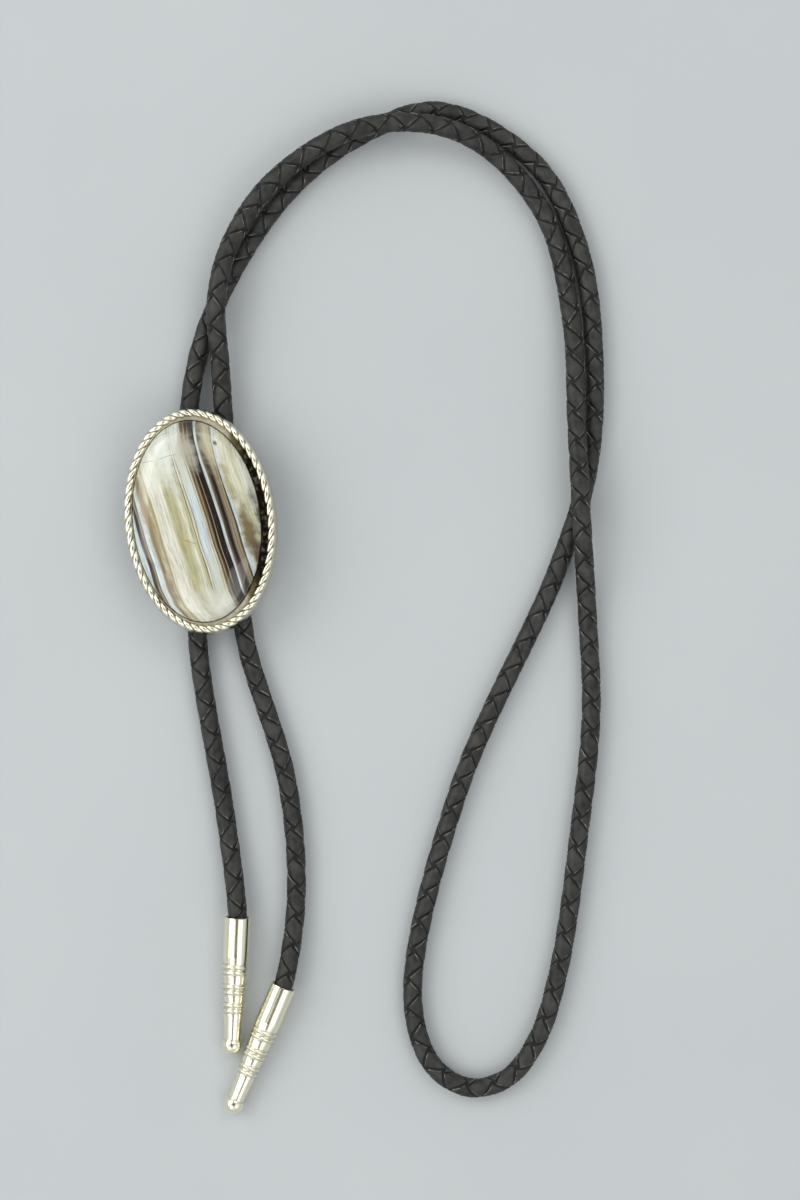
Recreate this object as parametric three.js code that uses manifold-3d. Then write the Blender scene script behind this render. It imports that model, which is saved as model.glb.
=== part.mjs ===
// A bolo tie that lies flat: an oval banded stone in a silver-tone setting with a twisted wire
// edge, a clip behind the setting, one round leather cord through the clip, and a metal tip on
// each end of the cord.
// Millimetres, +Z up. The origin is on the surface, under the middle of the setting. +Y runs
// along the setting's long axis, towards the neck, and +X across it.

import * as THREE from 'three';
import { ParametricGeometry } from 'three/addons/geometries/ParametricGeometry.js';
import { mergeVertices } from 'three/addons/utils/BufferGeometryUtils.js';
import Module from 'manifold-3d';

const wasm = await Module();
wasm.setup();

// Driving dimensions: the cord and what it passes through
const cord_d = 4.5;
const cord_sides = 10;
const cord_clearance = 0.3;
const cord_floor_gap = 0.05;

const clip_length = 14.0;
const clip_run = 1.0;
const clip_plate_width = 22.0;
const clip_plate = 0.9;
const clip_wall = 0.9;
const channel_spacing = 9.5;
const clip_x = 2.45;
const seat_gap = 0.3;

// Driving dimensions: the stone, which sits a little to the left in its setting
const stone_width = 28.8;
const stone_length = 45.8;
const stone_shift = -0.6;
const stone_clearance = 0.3;
const stone_girdle = 3.3;
const stone_dome = 4.1;
const dome_fullness = 2.5;

// Driving dimensions: the setting, whose rim goes round the stone, and its wire edge
const rim_width = 2.3;
const base_flare = 0.4;
const base_thickness = 1.0;
const wall_height = 4.2;
const wire_d = 0.9;
const wire_turns = 27;
const wire_solder = 0.66;
const lip_rise = 0.35;
const lip_land = 0.35;

// Driving dimensions: the tips
const tip_length = 31.9;
const tip_mouth_d = 6.0;
const tip_straight = 9.0;
const tip_taper = 0.95;
const tip_neck_d = 3.5;
const tip_bore_depth = 9.0;
const cord_in_tip = 8.0;
const ball_d = 4.5;
const ring_starts = [11.3, 15.9, 20.2];
const ring_pair_step = 1.35;
const ring_width = 0.75;
const ring_rise = 0.18;

const tips = [
  { name: 'tip_left', mouth: [-3.0, -91.0], lean: 9.6 },
  { name: 'tip_right', mouth: [5.5, -108.0], lean: 29.6 },
];

// How finely the round forms are divided
const oval_segments = 96;
const dome_rows = 8;
const steps_per_turn = 6;
const wire_section_points = 9;
const tip_segments = 20;
const ball_points = 7;

// Sizes that follow from the ones above
const cord_r = cord_d / 2;
const floor_z = cord_r + cord_floor_gap;
const bore_r = cord_r + cord_clearance;
const channel_z = clip_plate + bore_r;
const clip_height = channel_z + bore_r + clip_wall;
const left_x = clip_x - channel_spacing / 2;
const right_x = clip_x + channel_spacing / 2;
const clip_reach = clip_length / 2 + clip_run;

const setting_width = stone_width + 2 * (stone_clearance + rim_width);
const setting_length = stone_length + 2 * (stone_clearance + rim_width);
const base_z = clip_height + seat_gap;
const wall_top_z = base_z + wall_height;
const stone_z = base_z + base_thickness + seat_gap;
const edge_z = stone_z + stone_girdle;
const edge_r = wire_d;

const tip_mouth_r = tip_mouth_d / 2;
const tip_neck_r = tip_neck_d / 2;
const ball_r = ball_d / 2;
const ball_at = tip_length - ball_r;

// A tip lies on its first ring and on its ball, so these two set its pitch and its height
const tip_radius = (at) => {
  const share = Math.max(0, at - tip_straight) / (ball_at - tip_straight);
  return tip_mouth_r + (tip_neck_r - tip_mouth_r) * Math.pow(share, tip_taper);
};
const rest_at = ring_starts[0];
const rest_r = tip_radius(rest_at) + ring_rise;
const tip_pitch = Math.asin((rest_r - ball_r) / (ball_at - rest_at));
const tip_mouth_z = rest_r / Math.cos(tip_pitch) + rest_at * Math.sin(tip_pitch) + cord_floor_gap;

function tipDirection(tip) {
  const lean = THREE.MathUtils.degToRad(tip.lean);
  const level = Math.cos(tip_pitch);
  return new THREE.Vector3(-Math.sin(lean) * level, -Math.cos(lean) * level, -Math.sin(tip_pitch));
}

function tipPoint(tip, depth) {
  const mouth = new THREE.Vector3(...tip.mouth, tip_mouth_z);
  return mouth.addScaledVector(tipDirection(tip), depth);
}

// The cord's route from the left tip's mouth to the right tip's, as [x, y, z]. It goes up
// through the left channel, round the neck loop, down and round the long end of the loop, back
// over itself three times, and down through the right channel.
const cord_route = [
  [-3.0, -67.5, floor_z],
  [-4.5, -28.5, 2.5],
  [left_x, -clip_reach, channel_z],
  [left_x, clip_reach, channel_z],
  [1.5, 31.5, 2.6],
  [9.0, 49.0, floor_z],
  [27.5, 72.0, floor_z],
  [46.0, 83.5, floor_z],
  [65.5, 87.3, floor_z],
  [86.1, 72.4, floor_z],
  [93.8, 51.4, floor_z],
  [93.8, 24.0, floor_z],
  [89.3, 0.5, floor_z],
  [79.3, -21.5, floor_z],
  [51.0, -68.3, floor_z],
  [34.7, -114.0, floor_z],
  [37.3, -130.4, floor_z],
  [45.0, -136.6, floor_z],
  [54.0, -135.5, floor_z],
  [61.8, -127.7, floor_z],
  [68.8, -112.3, floor_z],
  [77.3, -81.5, floor_z],
  [83.4, -54.5, floor_z],
  [85.3, -31.0, 3.1],
  [86.2, -12.0, 7.2],
  [88.0, 12.5, 5.8],
  [89.8, 35.0, 4.1],
  [87.1, 59.3, 3.0],
  [76.3, 76.2, 4.4],
  [63.5, 83.6, 6.8],
  [45.5, 84.5, 7.3],
  [25.4, 75.1, 6.3],
  [14.3, 62.2, 6.2],
  [9.6, 49.5, 7.5],
  [8.5, 34.5, 4.6],
  [right_x, clip_reach, channel_z],
  [right_x, -clip_reach, channel_z],
  [6.5, -28.0, 2.5],
  [12.0, -61.5, floor_z],
  [10.9, -88.0, floor_z],
];

// A smooth curve through the chosen points. It takes the same number of steps from each point
// to the next, so the tight bends get short steps, and it never sinks into the surface.
class CordCurve extends THREE.CatmullRomCurve3 {
  getPoint(t, target = new THREE.Vector3()) {
    super.getPoint(t, target);
    target.z = Math.max(target.z, floor_z);
    return target;
  }

  getPointAt(u, target) {
    return this.getPoint(u, target);
  }

  getTangentAt(u, target) {
    return this.getTangent(u, target);
  }
}

function circlePoints(radius, count) {
  const points = [];
  for (let i = 0; i < count; i += 1) {
    const angle = (2 * Math.PI * i) / count;
    points.push(new THREE.Vector2(radius * Math.cos(angle), radius * Math.sin(angle)));
  }
  return points;
}

function cordGeometry() {
  const [left, right] = tips;
  const points = [
    tipPoint(left, cord_in_tip),
    tipPoint(left, 0),
    ...cord_route.map((place) => new THREE.Vector3(...place)),
    tipPoint(right, 0),
    tipPoint(right, cord_in_tip),
  ];
  const extrudePath = new CordCurve(points, false, 'centripetal');
  const section = new THREE.Shape(circlePoints(cord_r, cord_sides));
  return new THREE.ExtrudeGeometry(section, { steps: 2 * (points.length - 1), extrudePath });
}

// The clip is one flat plate with a raised block on it, which holds the two cord channels and
// is open between them.
function clipGeometry() {
  const half_plate = clip_plate_width / 2;
  const half_block = channel_spacing / 2 + bore_r + clip_wall;
  const corner = bore_r;
  const outline = new THREE.Shape();
  outline.moveTo(-half_plate, 0);
  outline.lineTo(half_plate, 0);
  outline.lineTo(half_plate, clip_plate);
  outline.lineTo(half_block, clip_plate);
  outline.lineTo(half_block, clip_height - corner);
  outline.absarc(half_block - corner, clip_height - corner, corner, 0, Math.PI / 2);
  outline.absarc(corner - half_block, clip_height - corner, corner, Math.PI / 2, Math.PI);
  outline.lineTo(-half_block, clip_plate);
  outline.lineTo(-half_plate, clip_plate);
  outline.closePath();

  for (const side of [-1, 1]) {
    const bore = new THREE.Path();
    bore.absarc((side * channel_spacing) / 2, channel_z, bore_r, 0, 2 * Math.PI);
    outline.holes.push(bore);
  }
  const half_window = channel_spacing / 2 - bore_r - clip_wall;
  const window_top = clip_height - clip_wall;
  const window = new THREE.Path();
  window.moveTo(-half_window, clip_plate);
  window.lineTo(half_window, clip_plate);
  window.lineTo(half_window, window_top);
  window.lineTo(-half_window, window_top);
  window.closePath();
  outline.holes.push(window);

  const options = { depth: clip_length, bevelEnabled: false, curveSegments: 10 };
  const geometry = new THREE.ExtrudeGeometry(outline, options);
  geometry.translate(0, 0, -clip_length / 2);
  geometry.rotateX(Math.PI / 2);
  return geometry.translate(clip_x, 0, 0);
}

// An oval form that is lofted through rows of half-width, half-length, height and shift. The
// first and last rows are points, so the form is closed.
function ovalGeometry(rows) {
  const place = (u, v, target) => {
    const row = rows[Math.round(v * (rows.length - 1))];
    const angle = 2 * Math.PI * u;
    target.set(row.w * Math.cos(angle) + (row.x ?? 0), row.l * Math.sin(angle), row.z);
  };
  return new ParametricGeometry(place, oval_segments, rows.length - 1);
}

function stoneGeometry() {
  const half_w = stone_width / 2;
  const half_l = stone_length / 2;
  const rows = [
    { w: 0, l: 0, z: stone_z },
    { w: half_w, l: half_l, z: stone_z },
    { w: half_w, l: half_l, z: edge_z },
  ];
  for (let i = dome_rows - 1; i >= 0; i -= 1) {
    const share = Math.sin((i / dome_rows) * (Math.PI / 2));
    const rise = Math.pow(1 - Math.pow(share, dome_fullness), 1 / dome_fullness);
    rows.push({ w: share * half_w, l: share * half_l, z: edge_z + stone_dome * rise });
  }
  return ovalGeometry(rows).translate(stone_shift, 0, 0);
}

// The cup is one wall and base. Its inner rows follow the stone and its outer rows the edge.
function cupGeometry() {
  const outer = (inset, z) => ({ w: setting_width / 2 - inset, l: setting_length / 2 - inset, z });
  const inner = (grow, z) => ({
    w: stone_width / 2 + stone_clearance + grow,
    l: stone_length / 2 + stone_clearance + grow,
    z,
    x: stone_shift,
  });
  const rows = [
    { w: 0, l: 0, z: base_z },
    outer(-base_flare, base_z),
    outer(-base_flare, base_z + base_thickness / 2),
    outer(edge_r / 3, wall_top_z - edge_r),
    outer(edge_r, wall_top_z),
    inner(lip_land, wall_top_z + lip_rise),
    inner(0, wall_top_z + lip_rise),
    inner(0, base_z + base_thickness),
    { w: 0, l: 0, z: base_z + base_thickness, x: stone_shift },
  ];
  return ovalGeometry(rows);
}

// Two wires twisted together and laid round the top of the wall. The section is the outline of
// the pair, with solder in the hollows between them, and it turns as it goes round.
function wireEdgeGeometry() {
  const half_w = setting_width / 2 - edge_r;
  const half_l = setting_length / 2 - edge_r;
  const place = (u, v, target) => {
    const angle = 2 * Math.PI * u;
    const outward = new THREE.Vector2(half_l * Math.cos(angle), half_w * Math.sin(angle)).normalize();
    const turn = 2 * Math.PI * v;
    const twist = wire_turns * angle;
    const reach = edge_r * Math.max(Math.abs(Math.cos(turn + twist)), wire_solder);
    target.set(
      half_w * Math.cos(angle) + outward.x * reach * Math.cos(turn),
      half_l * Math.sin(angle) + outward.y * reach * Math.cos(turn),
      wall_top_z + reach * Math.sin(turn),
    );
  };
  return new ParametricGeometry(place, wire_turns * steps_per_turn, wire_section_points);
}

// A tip is turned in one piece, with a blind bore for the cord, three pairs of raised rings on
// its taper, and a ball at its end.
function tipGeometry() {
  const profile = [
    new THREE.Vector2(0, tip_bore_depth),
    new THREE.Vector2(bore_r, tip_bore_depth),
    new THREE.Vector2(bore_r, 0),
    new THREE.Vector2(tip_mouth_r, 0),
    new THREE.Vector2(tip_radius(tip_straight), tip_straight),
  ];
  const ring = (at, rise) => new THREE.Vector2(tip_radius(at) + rise, at);
  for (const start of ring_starts) {
    for (const at of [start, start + ring_pair_step]) {
      profile.push(ring(at - ring_width / 2, 0));
      profile.push(ring(at - ring_width / 5, ring_rise));
      profile.push(ring(at + ring_width / 5, ring_rise));
      profile.push(ring(at + ring_width / 2, 0));
    }
  }
  const neck = Math.asin(tip_neck_r / ball_r);
  const last_ring = ring_starts.at(-1) + ring_pair_step + ring_width / 2;
  const neck_at = ball_at - ball_r * Math.cos(neck);
  profile.push(ring((last_ring + neck_at) / 2, 0));
  for (let i = 0; i <= ball_points; i += 1) {
    const angle = neck + ((Math.PI - neck) * i) / ball_points;
    profile.push(new THREE.Vector2(ball_r * Math.sin(angle), ball_at - ball_r * Math.cos(angle)));
  }
  profile.at(-1).x = 0;
  return new THREE.LatheGeometry(profile, tip_segments);
}

// Closed solids for the join of cup and wire edge
function toManifold(geometry) {
  const plain = geometry.clone();
  plain.deleteAttribute('normal');
  plain.deleteAttribute('uv');
  const merged = mergeVertices(plain, 1e-4);
  const index = merged.index.array;
  const corners = [];
  for (let i = 0; i < index.length; i += 3) {
    const [a, b, c] = index.slice(i, i + 3);
    if (a !== b && b !== c && c !== a) {
      corners.push(a, b, c);
    }
  }
  const vertProperties = new Float32Array(merged.attributes.position.array);
  const triVerts = new Uint32Array(corners);
  return new wasm.Manifold(new wasm.Mesh({ numProp: 3, vertProperties, triVerts }));
}

function fromManifold(solid) {
  const mesh = solid.getMesh();
  const geometry = new THREE.BufferGeometry();
  geometry.setAttribute('position', new THREE.BufferAttribute(mesh.vertProperties, 3));
  geometry.setIndex(new THREE.BufferAttribute(mesh.triVerts, 1));
  geometry.computeVertexNormals();
  return geometry;
}

const leather = new THREE.MeshStandardMaterial({ color: 0x2b2725, roughness: 0.7, metalness: 0.0 });
const silver = new THREE.MeshStandardMaterial({ color: 0xd9d4c4, roughness: 0.28, metalness: 1.0 });
const plain_steel = new THREE.MeshStandardMaterial({ color: 0xa8a8a4, roughness: 0.4, metalness: 1.0 });
const agate = new THREE.MeshStandardMaterial({ color: 0xc9c4b4, roughness: 0.12, metalness: 0.0 });

const bolo_tie = new THREE.Group();

function addPiece(name, geometry, material) {
  const mesh = new THREE.Mesh(geometry, material);
  mesh.name = name;
  bolo_tie.add(mesh);
  return mesh;
}

addPiece('cord_clip', clipGeometry(), plain_steel);
addPiece('setting', fromManifold(toManifold(cupGeometry()).add(toManifold(wireEdgeGeometry()))), silver);
addPiece('stone', stoneGeometry(), agate);
addPiece('cord', cordGeometry(), leather);
for (const tip of tips) {
  const mesh = addPiece(tip.name, tipGeometry(), silver);
  mesh.position.copy(tipPoint(tip, 0));
  mesh.quaternion.setFromUnitVectors(new THREE.Vector3(0, 1, 0), tipDirection(tip));
}

export default bolo_tie;
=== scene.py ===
import math

import bmesh
import bpy
import numpy as np
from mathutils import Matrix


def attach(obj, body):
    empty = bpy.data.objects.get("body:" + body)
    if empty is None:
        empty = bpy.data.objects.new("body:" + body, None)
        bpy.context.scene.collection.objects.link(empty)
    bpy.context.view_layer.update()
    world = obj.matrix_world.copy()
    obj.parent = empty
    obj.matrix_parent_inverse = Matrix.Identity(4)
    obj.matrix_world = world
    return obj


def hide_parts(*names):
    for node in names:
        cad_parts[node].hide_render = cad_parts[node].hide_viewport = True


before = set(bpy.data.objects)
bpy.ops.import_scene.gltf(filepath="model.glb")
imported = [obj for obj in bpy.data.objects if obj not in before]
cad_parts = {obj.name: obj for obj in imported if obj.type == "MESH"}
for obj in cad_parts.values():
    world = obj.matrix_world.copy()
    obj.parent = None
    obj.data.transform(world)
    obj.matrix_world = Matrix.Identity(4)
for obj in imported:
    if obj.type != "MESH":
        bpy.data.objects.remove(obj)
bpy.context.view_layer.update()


# Camera: it looks straight down on the tie from 600 mm. It is turned 7 degrees, so the setting
# leans a little to the left of upright in the picture.
camera_place = (0.0429, -0.0233, 0.600)
camera_turn = math.radians(-7.0)
camera_lens = 77.9

camera_data = bpy.data.cameras.new("camera")
camera_data.lens = camera_lens
camera_data.sensor_width = 36.0
camera_data.clip_start = 0.01
camera = bpy.data.objects.new("camera", camera_data)
camera.location = camera_place
camera.rotation_euler = (0.0, 0.0, camera_turn)
bpy.context.scene.collection.objects.link(camera)
bpy.context.scene.camera = camera


# Cord: one black leather cord, 965 mm from end to end. Four flat laces are braided round to a
# 4.5 mm cord. It goes up through the clip's left channel, round the neck loop and the long end
# of the loop, and down through the right channel. Each end is glued into a metal tip.
cord_floor_z = 0.0023
channel_z = 0.00345
left_channel_x = -0.0023
right_channel_x = 0.0072
clip_reach = 0.008

lace_pitch = 0.0134
lace_width = 0.0047
lace_thickness = 0.00055
lace_middle = 0.001675
lace_weave = 0.0003
lace_weave_steepness = 2.0
lace_turn_r = 0.0019
lace_helix = math.atan(2 * math.pi * lace_turn_r / lace_pitch)
lace_step = lace_pitch / 24
cord_line_steps = 60

# The braid rolls slowly to and fro along the cord: its mean roll, and two waves, as how far each
# rolls it, how often and from where, in radians
braid_mean_roll = 0.5
braid_rolls = ((0.6, 19.0, 0.0), (0.25, 47.0, 1.0))

tip_pitch = math.radians(2.419)
tip_mouth_z = 0.003554
cord_in_tip = 0.008
tips = {
    "tip_left": {"mouth": (-0.0030, -0.0910, tip_mouth_z), "lean": math.radians(9.6)},
    "tip_right": {"mouth": (0.0055, -0.1080, tip_mouth_z), "lean": math.radians(29.6)},
}

cord_route = [
    (-0.0030, -0.0675, cord_floor_z),
    (-0.0045, -0.0285, 0.0025),
    (left_channel_x, -clip_reach, channel_z),
    (left_channel_x, clip_reach, channel_z),
    (0.0015, 0.0315, 0.0026),
    (0.0090, 0.0490, cord_floor_z),
    (0.0275, 0.0720, cord_floor_z),
    (0.0460, 0.0835, cord_floor_z),
    (0.0655, 0.0873, cord_floor_z),
    (0.0861, 0.0724, cord_floor_z),
    (0.0938, 0.0514, cord_floor_z),
    (0.0938, 0.0240, cord_floor_z),
    (0.0893, 0.0005, cord_floor_z),
    (0.0793, -0.0215, cord_floor_z),
    (0.0510, -0.0683, cord_floor_z),
    (0.0347, -0.1140, cord_floor_z),
    (0.0373, -0.1304, cord_floor_z),
    (0.0450, -0.1366, cord_floor_z),
    (0.0540, -0.1355, cord_floor_z),
    (0.0618, -0.1277, cord_floor_z),
    (0.0688, -0.1123, cord_floor_z),
    (0.0773, -0.0815, cord_floor_z),
    (0.0834, -0.0545, cord_floor_z),
    (0.0853, -0.0310, 0.0031),
    (0.0862, -0.0120, 0.0072),
    (0.0880, 0.0125, 0.0058),
    (0.0898, 0.0350, 0.0041),
    (0.0871, 0.0593, 0.0030),
    (0.0763, 0.0762, 0.0044),
    (0.0635, 0.0836, 0.0068),
    (0.0455, 0.0845, 0.0073),
    (0.0254, 0.0751, 0.0063),
    (0.0143, 0.0622, 0.0062),
    (0.0096, 0.0495, 0.0075),
    (0.0085, 0.0345, 0.0046),
    (right_channel_x, clip_reach, channel_z),
    (right_channel_x, -clip_reach, channel_z),
    (0.0065, -0.0280, 0.0025),
    (0.0120, -0.0615, cord_floor_z),
    (0.0109, -0.0880, cord_floor_z),
]


def tip_direction(tip):
    """The way along a tip, from its mouth to its ball."""
    level = math.cos(tip_pitch)
    lean = tip["lean"]
    return np.array([-math.sin(lean) * level, -math.cos(lean) * level, -math.sin(tip_pitch)])


def tip_point(tip, depth):
    """A place on a tip's middle line, that far in from its mouth."""
    return np.array(tip["mouth"]) + depth * tip_direction(tip)


def smooth_route(points, steps):
    """A centripetal curve through the points, with as many steps from each to the next."""
    points = np.array(points)
    ends = (2 * points[0] - points[1], 2 * points[-1] - points[-2])
    points = np.vstack([ends[0], points, ends[1]])
    share = np.linspace(0.0, 1.0, steps, endpoint=False)[:, None]
    spans = []
    for a, b, c, d in zip(points, points[1:], points[2:], points[3:]):
        first, middle, last = (np.linalg.norm(q - p) ** 0.5 for p, q in ((a, b), (b, c), (c, d)))
        leave = middle * ((b - a) / first - (c - a) / (first + middle)) + (c - b)
        arrive = (c - b) + middle * ((d - c) / last - (d - b) / (middle + last))
        bend = 3 * (c - b) - 2 * leave - arrive
        settle = 2 * (b - c) + leave + arrive
        spans.append(b + share * leave + share**2 * bend + share**3 * settle)
    return np.vstack([*spans, points[-2]])


def loft_piece(name, lofts, sharp, ring=False):
    """One mesh of skins over rows of points. A ring's last row joins its first row, and any
    other skin is closed at both ends."""
    points = []
    faces = []
    for rows in lofts:
        count, width = rows.shape[:2]
        start = len(points)
        points.extend(rows.reshape(-1, 3).tolist())
        for row in range(count if ring else count - 1):
            here = start + row * width
            there = start + (row + 1) % count * width
            for column in range(width):
                beside = (column + 1) % width
                faces.append((here + column, here + beside, there + beside, there + column))
        if not ring:
            faces.append(tuple(range(start, start + width)))
            faces.append(tuple(range(start + (count - 1) * width, start + count * width)))
    mesh = bpy.data.meshes.new(name)
    mesh.from_pydata(points, [], faces)
    outward = bmesh.new()
    outward.from_mesh(mesh)
    bmesh.ops.recalc_face_normals(outward, faces=outward.faces)
    outward.to_mesh(mesh)
    outward.free()
    mesh.shade_smooth()
    mesh.set_sharp_from_angle(angle=math.radians(sharp))
    piece = bpy.data.objects.new(name, mesh)
    bpy.context.scene.collection.objects.link(piece)
    return piece


def mark_points(piece, name, values):
    """Keeps three numbers with each point, for the material to read by that name."""
    marks = piece.data.attributes.new(name, "FLOAT_VECTOR", "POINT")
    marks.data.foreach_set("vector", np.ascontiguousarray(values, np.float32).ravel())


def paint(red, green, blue):
    """A colour given as it looks on a screen, from 0 to 255, as the shaders need it."""
    shares = (np.array([red, green, blue]) / 255.0 + 0.055) / 1.055
    return (*(shares**2.4).tolist(), 1.0)


def feed_node(tree, node, values):
    """Sets a node's inputs. The values are plain numbers, or the sockets that feed it."""
    for name, value in values.items():
        if isinstance(value, bpy.types.NodeSocket):
            tree.links.new(value, node.inputs[name])
        else:
            node.inputs[name].default_value = value


def add_node(tree, kind, values=None, **settings):
    node = tree.nodes.new("ShaderNode" + kind)
    for name, setting in settings.items():
        setattr(node, name, setting)
    feed_node(tree, node, values or {})
    return node


def place_group(tree, group, values):
    node = tree.nodes.new("ShaderNodeGroup")
    node.node_tree = group
    feed_node(tree, node, values)
    return node


def new_group(name, inputs, outputs):
    """A shader node group. Its inputs are (name, kind, value) and its outputs (name, kind)."""
    tree = bpy.data.node_groups.new(name, "ShaderNodeTree")
    for label, kind, value in inputs:
        socket = tree.interface.new_socket(name=label, in_out="INPUT", socket_type=kind)
        if value is not None:
            socket.default_value = value
    for label, kind in outputs:
        tree.interface.new_socket(name=label, in_out="OUTPUT", socket_type=kind)
    given = tree.nodes.new("NodeGroupInput").outputs
    result = tree.nodes.new("NodeGroupOutput").inputs
    return tree, given, result


def new_material(name, **values):
    """A material whose Principled shader has these plain values."""
    material = bpy.data.materials.new(name)
    material.use_nodes = True
    shader = material.node_tree.nodes["Principled BSDF"]
    for label, value in values.items():
        shader.inputs[label.replace("_", " ")].default_value = value
    return material, material.node_tree, shader.inputs


def finish_material(tree, shader, color, rough, normal):
    """Feeds the colour, the roughness and the bumps to the material's Principled shader."""
    tree.links.new(color, shader["Base Color"])
    tree.links.new(rough, shader["Roughness"])
    tree.links.new(normal, shader["Normal"])


def worn_highlit_edge_group():
    """Paler edges, wear with a painted highlight along them: the edge mask, broken up by noise."""
    inputs = [
        ("Vector", "NodeSocketVector", None),
        ("Edge", "NodeSocketFloat", 0.0),
        ("Scale", "NodeSocketFloat", 400.0),
        ("Amount", "NodeSocketFloat", 0.5),
    ]
    tree, given, result = new_group("worn_highlit_edge", inputs, [("Mask", "NodeSocketFloat")])
    patches = add_node(
        tree, "TexNoise", {"Vector": given["Vector"], "Scale": given["Scale"], "Detail": 3.0}
    )
    wear_and_highlight = add_node(
        tree, "Math", {0: given["Edge"], 1: patches.outputs["Fac"]}, operation="MULTIPLY"
    )
    low = add_node(tree, "Math", {0: 1.0, 1: given["Amount"]}, operation="SUBTRACT")
    mask = add_node(
        tree,
        "MapRange",
        {"Value": wear_and_highlight.outputs[0], "From Min": low.outputs[0], "From Max": 1.0},
        interpolation_type="SMOOTHSTEP",
    )
    tree.links.new(mask.outputs[0], result["Mask"])
    return tree


def fine_grain_group():
    """Fine surface grain: a height for bump and a slow mottle for colour and roughness."""
    inputs = [
        ("Vector", "NodeSocketVector", None),
        ("Grain Scale", "NodeSocketFloat", 2500.0),
        ("Mottle Scale", "NodeSocketFloat", 250.0),
    ]
    outputs = [("Height", "NodeSocketFloat"), ("Mottle", "NodeSocketFloat")]
    tree, given, result = new_group("fine_grain", inputs, outputs)
    pores = add_node(
        tree, "TexVoronoi", {"Vector": given["Vector"], "Scale": given["Grain Scale"]}
    )
    creases = add_node(
        tree,
        "TexNoise",
        {"Vector": given["Vector"], "Scale": given["Grain Scale"], "Detail": 5.0, "Roughness": 0.6},
    )
    height = add_node(
        tree, "Math", {0: pores.outputs["Distance"], 1: creases.outputs["Fac"]}, operation="ADD"
    )
    mottle = add_node(
        tree,
        "TexNoise",
        {"Vector": given["Vector"], "Scale": given["Mottle Scale"], "Detail": 4.0},
    )
    tree.links.new(height.outputs[0], result["Height"])
    tree.links.new(mottle.outputs["Fac"], result["Mottle"])
    return tree


worn_highlit_edge = worn_highlit_edge_group()
fine_grain = fine_grain_group()


cord_line = smooth_route(
    [
        tip_point(tips["tip_left"], cord_in_tip),
        tip_point(tips["tip_left"], 0.0),
        *cord_route,
        tip_point(tips["tip_right"], 0.0),
        tip_point(tips["tip_right"], cord_in_tip),
    ],
    cord_line_steps,
)
cord_line[:, 2] = np.maximum(cord_line[:, 2], cord_floor_z)
cord_at = np.concatenate([[0.0], np.cumsum(np.linalg.norm(np.diff(cord_line, axis=0), axis=1))])
cord_length = cord_at[-1]
cord_ahead = np.gradient(cord_line, cord_at, axis=0)
cord_side = np.cross(cord_ahead, (0.0, 0.0, 1.0))
cord_side /= np.linalg.norm(cord_side, axis=1)[:, None]
cord_up = np.cross(cord_side, cord_ahead)
cord_up /= np.linalg.norm(cord_up, axis=1)[:, None]


def along_cord(values, at):
    """Values that are known along the cord's line, at other places along it."""
    columns = [np.interp(at, cord_at, values[:, i]) for i in range(3)]
    return np.stack(columns, axis=-1)


# The laces' cross-section: places across the width from -1 to 1, and the height there
lace_across = np.array([-1, -0.97, -0.86, -0.45, 0, 0.45, 0.86, 0.97, 1, 0.9, 0, -0.9])
lace_height = np.array([0.1, 0.38, 0.48, 0.5, 0.5, 0.5, 0.48, 0.38, 0.1, -0.5, -0.5, -0.5])


def lace_rows(hand, number):
    """One lace, which winds round the cord to one hand and goes over and under the others. Its
    marks are the place along the cord, the place across the lace from -1 to 1, and the lift."""
    middle = np.arange(0.0, cord_length + lace_step, lace_step)[:, None]
    offset = lace_across[None, :] * lace_width / 2
    at = np.clip(middle - hand * math.sin(lace_helix) * offset, 0.0, cord_length)
    roll = braid_mean_roll
    for far, often, start in braid_rolls:
        roll = roll + far * np.sin(at * often + start)
    turn = hand * 2 * math.pi * middle / lace_pitch + number * math.pi
    turn = turn + math.cos(lace_helix) * offset / lace_turn_r + roll
    slant = hand * math.cos(2 * lace_helix) / (lace_turn_r * math.cos(lace_helix))
    wave = np.cos(4 * math.pi * middle / lace_pitch + slant * offset)
    lift = hand * np.tanh(lace_weave_steepness * wave)
    reach = lace_middle + lace_weave * lift + lace_thickness * lace_height[None, :]
    outward = np.cos(turn)[..., None] * along_cord(cord_side, at)
    outward = outward + np.sin(turn)[..., None] * along_cord(cord_up, at)
    rows = along_cord(cord_line, at) + reach[..., None] * outward
    marks = np.stack(np.broadcast_arrays(middle, lace_across[None, :], lift), axis=-1)
    return rows, marks


laces = [lace_rows(hand, number) for hand in (1, -1) for number in (0, 1)]
cord = loft_piece("braided_cord", [rows for rows, marks in laces], sharp=60.0)
mark_points(cord, "lace", np.concatenate([marks.reshape(-1, 3) for rows, marks in laces]))


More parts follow.
